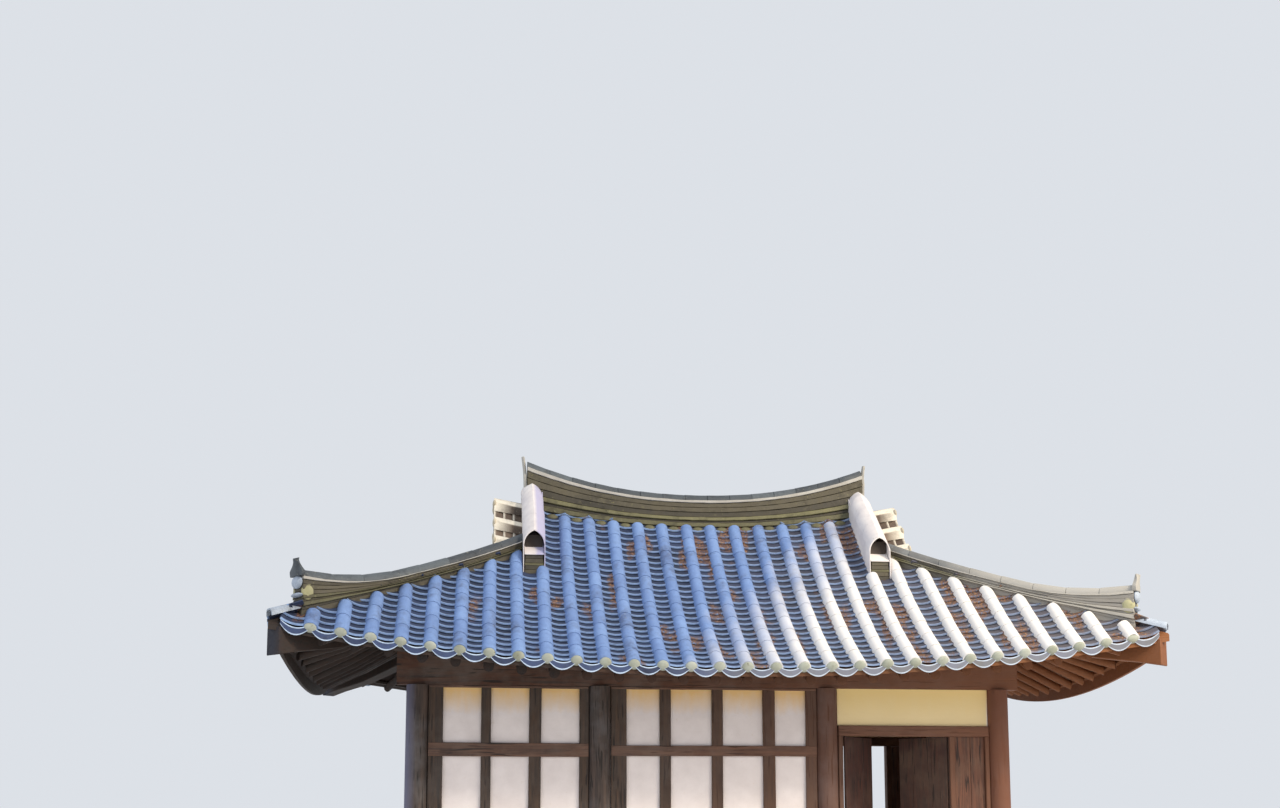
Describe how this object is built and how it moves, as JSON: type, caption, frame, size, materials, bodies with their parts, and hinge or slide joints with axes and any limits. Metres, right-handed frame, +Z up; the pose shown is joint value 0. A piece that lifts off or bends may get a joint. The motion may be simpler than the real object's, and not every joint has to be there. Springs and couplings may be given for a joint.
{
  "type": "hanok house",
  "caption": "Three-bay timber house with plastered walls, a double board door and an upswept hip-and-gable tile roof.",
  "frame": {"origin": "centre of the bounding box at ground level", "axes": "+X to the right along the front, +Y from front to back, +Z up"},
  "size_m": [9.5884, 5.3554, 5.765],
  "materials": {
    "footing_stone": "rough dressed granite",
    "door_boards": "weathered red-brown boards",
    "post_timber": "weathered grey-brown, bare",
    "frame_timber": "weathered dark brown, bare",
    "roof_tile": "unglazed smoke-fired grey clay",
    "ridge_tile": "unglazed clay courses with pale mortar",
    "plaster": "matt lime plaster"
  },
  "bodies": {
    "house": {"stone_footing": "footing_stone", "timber_floor": "frame_timber", "front_post_far_left": "post_timber", "front_post_left": "post_timber", "front_post_right": "post_timber", "front_post_far_right": "post_timber", "back_post_far_left": "post_timber", "back_post_left": "post_timber", "back_post_right": "post_timber", "back_post_far_right": "post_timber", "front_wall_left": "plaster", "front_wall_frame_left": "frame_timber", "front_wall_centre": "plaster", "front_wall_frame_centre": "frame_timber", "front_wall_over_door": "plaster", "front_door_frame": "frame_timber", "front_plank_panel": "door_boards", "back_wall_left": "plaster", "back_wall_frame_left": "frame_timber", "back_wall_centre": "plaster", "back_wall_frame_centre": "frame_timber", "back_wall_over_door": "plaster", "back_door_frame": "frame_timber", "back_plank_panel": "door_boards", "left_wall": "plaster", "left_wall_frame": "frame_timber", "right_wall": "plaster", "right_wall_frame": "frame_timber", "front_beam": "frame_timber", "back_beam": "frame_timber", "left_beam": "frame_timber", "right_beam": "frame_timber", "roof_truss": "frame_timber", "left_rafters": "frame_timber", "right_rafters": "frame_timber", "front_rafters": "frame_timber", "back_rafters": "frame_timber", "front_roof_slope": "roof_tile", "back_roof_slope": "roof_tile", "left_roof_slope": "roof_tile", "right_roof_slope": "roof_tile", "left_gable_ridge": "ridge_tile", "right_gable_ridge": "ridge_tile", "main_ridge": "ridge_tile", "front_left_corner_ridge": "ridge_tile", "back_left_corner_ridge": "ridge_tile", "left_gable_wall": "plaster", "front_right_corner_ridge": "ridge_tile", "back_right_corner_ridge": "ridge_tile", "right_gable_wall": "plaster"},
    "left_leaf": {"left_door_leaf": "door_boards"},
    "right_leaf": {"right_door_leaf": "door_boards"}
  },
  "joints": [
    {"name": "left_leaf_swing", "type": "hinge", "parent": "house", "child": "left_leaf", "pos_m": [1.512, -1.275, 1.38], "axis": [0, 0, 1], "range_deg": [-45, 45]},
    {"name": "right_leaf_swing", "type": "hinge", "parent": "house", "child": "right_leaf", "pos_m": [2.698, -1.275, 1.38], "axis": [0, 0, -1], "range_deg": [-45, 45]}
  ]
}
